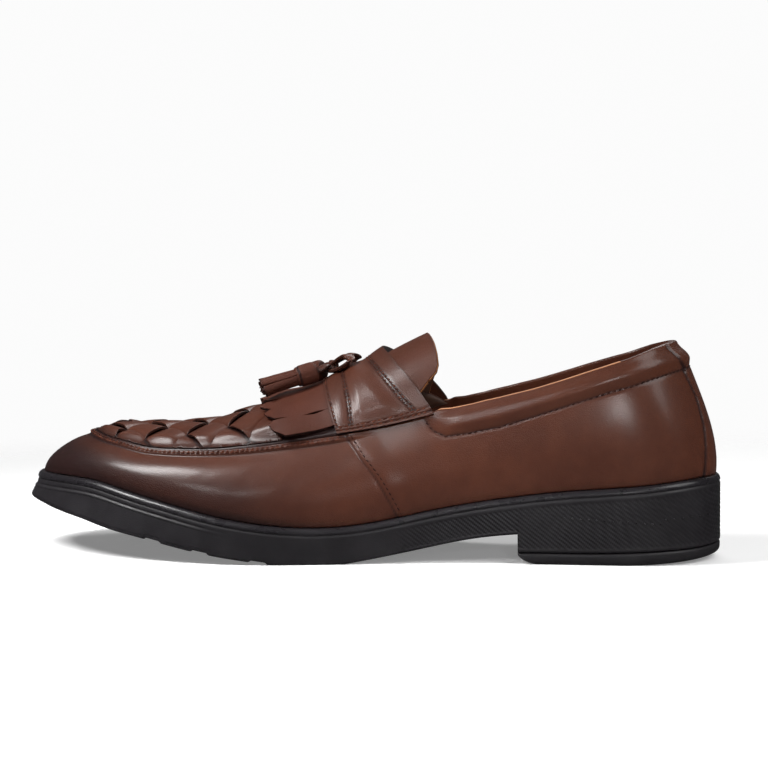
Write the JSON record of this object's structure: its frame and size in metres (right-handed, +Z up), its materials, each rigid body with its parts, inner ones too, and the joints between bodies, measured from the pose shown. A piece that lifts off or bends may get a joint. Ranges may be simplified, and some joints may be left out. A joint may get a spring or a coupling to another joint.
{
  "type": "kiltie loafer",
  "caption": "Low-cut leather slip-on shoe with a woven apron, a fringed flap under a saddle with tassels, and a rubber sole with a heel.",
  "frame": {"origin": "on the floor, under the heel, on the centre line of the heel's rest face", "axes": "+Z up, the toe points along -X, the heel's back towards +X, and the outer side of the left foot faces -Y"},
  "size_m": [0.2998, 0.1044, 0.0929],
  "materials": {
    "leather": "burnished brown leather, glossy",
    "woven_leather": "burnished brown leather strips, semi-gloss",
    "lining": "tan lining leather, matt",
    "rubber": "black rubber, satin"
  },
  "bodies": {
    "root": {"upper": "leather", "woven_apron": "woven_leather", "saddle": "leather", "kiltie": "leather", "tongue": "leather", "insole": "lining", "outsole": "rubber", "heel_top_piece": "rubber", "bow": "leather", "tassel_outer": "leather", "tassel_inner": "leather"}
  },
  "joints": []
}
